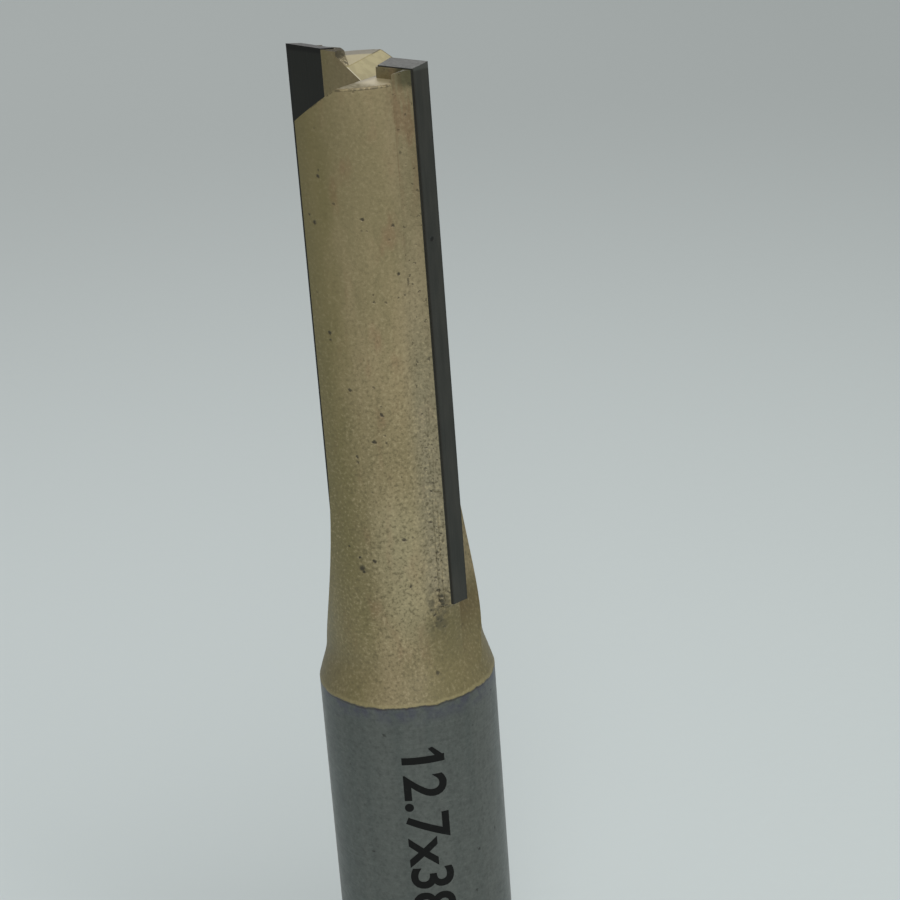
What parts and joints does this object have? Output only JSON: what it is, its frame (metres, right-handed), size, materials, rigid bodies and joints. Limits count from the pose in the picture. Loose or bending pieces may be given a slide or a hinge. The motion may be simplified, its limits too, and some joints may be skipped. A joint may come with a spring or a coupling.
{
  "type": "straight router bit",
  "caption": "Straight router bit: plain round shank, lacquered fluted head and long brazed carbide blades for trimming and grooving wood.",
  "frame": {"origin": "centre of the shank's flat end, which it stands on", "axes": "+Z along the axis from the shank to the cutting end, +X to the cutting edge of carbide_tip_1, both rake faces in the plane Y = 0"},
  "size_m": [0.0126, 0.0126, 0.0833],
  "materials": {
    "body_steel": "satin ground steel on the shank, thin gold-bronze lacquer with pits and specks on the head and shoulder",
    "carbide": "ground tungsten carbide, dark grey with fine grinding lines",
    "braze": "brazing alloy bead under the lacquer, grainy with small voids"
  },
  "bodies": {
    "root": {"steel_body": "body_steel", "carbide_tip_1": "carbide", "carbide_tip_2": "carbide", "braze_seam_1": "braze", "braze_seam_2": "braze"}
  },
  "joints": []
}
